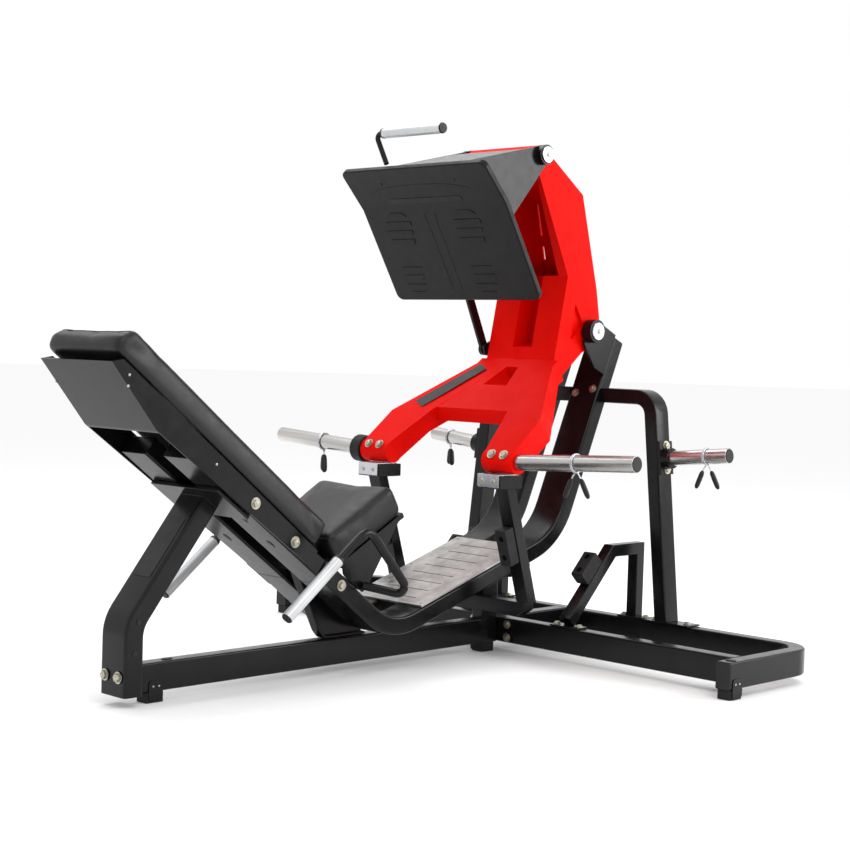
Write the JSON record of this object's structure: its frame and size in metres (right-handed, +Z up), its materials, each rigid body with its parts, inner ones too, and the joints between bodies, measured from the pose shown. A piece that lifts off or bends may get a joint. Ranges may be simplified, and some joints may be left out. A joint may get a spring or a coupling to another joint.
{
  "type": "leg press machine",
  "caption": "Plate-loaded leg press with reclined padded bench, swinging press arm, parallel-guided footplate, weight horns and plate storage.",
  "frame": {"origin": "on the floor under the middle of the machine's bounding box", "axes": "+X from the head of the bench towards the uprights, +Y to the user's left, +Z up"},
  "size_m": [2.1286, 2.016, 1.6935],
  "materials": {
    "base_beam": "gloss black powder coat",
    "crossbar": "gloss black powder coat",
    "centre_tube": "gloss black powder coat",
    "loop_tube": "gloss black powder coat",
    "rear_post": "gloss black powder coat",
    "hub_post": "gloss black powder coat",
    "cross_member": "gloss black powder coat",
    "foot_rear": "matt black rubber",
    "foot_hub": "matt black rubber",
    "foot_loop_left": "matt black rubber",
    "foot_loop_right": "matt black rubber",
    "foot_far_left": "matt black rubber",
    "foot_far_right": "matt black rubber",
    "main_rail_left": "gloss black powder coat",
    "main_rail_right": "gloss black powder coat",
    "back_rail_left": "gloss black powder coat",
    "back_rail_right": "gloss black powder coat",
    "upright_tie": "gloss black powder coat",
    "back_pan": "gloss black powder coat",
    "backrest_cushion": "black upholstery vinyl, soft sheen",
    "seat_cushion": "black upholstery vinyl, soft sheen",
    "seat_frame": "gloss black powder coat",
    "bench_support": "gloss black powder coat",
    "tread_plate": "brushed stainless steel",
    "handle_grip_left": "satin silver",
    "handle_grip_right": "satin silver",
    "seat_handle_left": "gloss black powder coat",
    "seat_handle_right": "gloss black powder coat",
    "stop_post_left": "gloss black powder coat",
    "stop_post_right": "gloss black powder coat",
    "stop_plate_left": "brushed stainless steel",
    "stop_plate_right": "brushed stainless steel",
    "stop_rubber_left": "matt black rubber",
    "stop_rubber_right": "matt black rubber",
    "bumper_frame_left": "gloss black powder coat",
    "bumper_frame_right": "gloss black powder coat",
    "bumper_block_left": "matt black rubber",
    "bumper_block_right": "matt black rubber",
    "storage_post_left": "gloss black powder coat",
    "storage_post_right": "gloss black powder coat",
    "storage_horn_left": "satin chrome",
    "storage_horn_right": "satin chrome",
    "pivot_bracket_left": "gloss black powder coat",
    "pivot_bracket_right": "gloss black powder coat",
    "main_shaft": "satin silver",
    "press_arm": "satin red powder coat",
    "arm_horn_left": "satin chrome",
    "arm_horn_right": "satin chrome",
    "horn_buffer": "matt black rubber",
    "top_shaft": "satin silver",
    "footplate": "moulded black rubber over steel, fine grain",
    "carriage": "gloss black powder coat",
    "footplate_handle": "gloss black powder coat",
    "footplate_grip": "satin silver",
    "link_rod": "gloss black powder coat",
    "spring_collar_arm_left": "satin chrome",
    "spring_collar_arm_right": "satin chrome",
    "spring_collar_store_left": "satin chrome",
    "spring_collar_store_right": "satin chrome"
  },
  "bodies": {
    "frame": {"base_beam": "base_beam", "crossbar": "crossbar", "centre_tube": "centre_tube", "loop_tube": "loop_tube", "rear_post": "rear_post", "hub_post": "hub_post", "cross_member": "cross_member", "foot_rear": "foot_rear", "foot_hub": "foot_hub", "foot_loop_left": "foot_loop_left", "foot_loop_right": "foot_loop_right", "foot_far_left": "foot_far_left", "foot_far_right": "foot_far_right", "main_rail_left": "main_rail_left", "main_rail_right": "main_rail_right", "back_rail_left": "back_rail_left", "back_rail_right": "back_rail_right", "upright_tie": "upright_tie", "back_pan": "back_pan", "backrest_cushion": "backrest_cushion", "seat_cushion": "seat_cushion", "seat_frame": "seat_frame", "bench_support": "bench_support", "tread_plate": "tread_plate", "handle_grip_left": "handle_grip_left", "handle_grip_right": "handle_grip_right", "seat_handle_left": "seat_handle_left", "seat_handle_right": "seat_handle_right", "stop_post_left": "stop_post_left", "stop_post_right": "stop_post_right", "stop_plate_left": "stop_plate_left", "stop_plate_right": "stop_plate_right", "stop_rubber_left": "stop_rubber_left", "stop_rubber_right": "stop_rubber_right", "bumper_frame_left": "bumper_frame_left", "bumper_frame_right": "bumper_frame_right", "bumper_block_left": "bumper_block_left", "bumper_block_right": "bumper_block_right", "storage_post_left": "storage_post_left", "storage_post_right": "storage_post_right", "storage_horn_left": "storage_horn_left", "storage_horn_right": "storage_horn_right", "pivot_bracket_left": "pivot_bracket_left", "pivot_bracket_right": "pivot_bracket_right", "main_shaft": "main_shaft"},
    "arm": {"press_arm": "press_arm", "arm_horn_left": "arm_horn_left", "arm_horn_right": "arm_horn_right", "horn_buffer": "horn_buffer", "top_shaft": "top_shaft"},
    "footplate": {"footplate": "footplate", "carriage": "carriage", "footplate_handle": "footplate_handle", "footplate_grip": "footplate_grip"},
    "link": {"link_rod": "link_rod"},
    "collar_arm_left": {"spring_collar_arm_left": "spring_collar_arm_left"},
    "collar_arm_right": {"spring_collar_arm_right": "spring_collar_arm_right"},
    "collar_store_left": {"spring_collar_store_left": "spring_collar_store_left"},
    "collar_store_right": {"spring_collar_store_right": "spring_collar_store_right"}
  },
  "joints": [
    {"name": "arm_swing", "type": "hinge", "parent": "frame", "child": "arm", "pos_m": [0.87366, 0, 1.073], "axis": [0, 1, 0], "range_deg": [0, 22]},
    {"name": "footplate_swing", "type": "hinge", "parent": "arm", "child": "footplate", "pos_m": [0.60366, 0, 1.636], "axis": [0, 1, 0], "range_deg": [-22, 0]},
    {"name": "link_swing", "type": "hinge", "parent": "frame", "child": "link", "pos_m": [0.71866, 0.1765, 1.003], "axis": [0, 1, 0], "range_deg": [0, 22]},
    {"name": "collar_arm_left_slide", "type": "slide", "parent": "arm", "child": "collar_arm_left", "axis": [0.0179, 0.9983, 0.0552], "range_m": [-0.14, 0.17]},
    {"name": "collar_arm_right_slide", "type": "slide", "parent": "arm", "child": "collar_arm_right", "axis": [0.0179, -0.9983, 0.0552], "range_m": [-0.18, 0.17]},
    {"name": "collar_store_left_slide", "type": "slide", "parent": "frame", "child": "collar_store_left", "axis": [0.0274, 0.9945, 0.1006], "range_m": [-0.1, 0.05]},
    {"name": "collar_store_right_slide", "type": "slide", "parent": "frame", "child": "collar_store_right", "axis": [0.0274, -0.9945, 0.1006], "range_m": [-0.1, 0.05]}
  ],
  "couplings": [
    {"joint": "footplate_swing", "follows": "arm_swing", "ratio": -1},
    {"joint": "link_swing", "follows": "arm_swing", "ratio": 1}
  ]
}
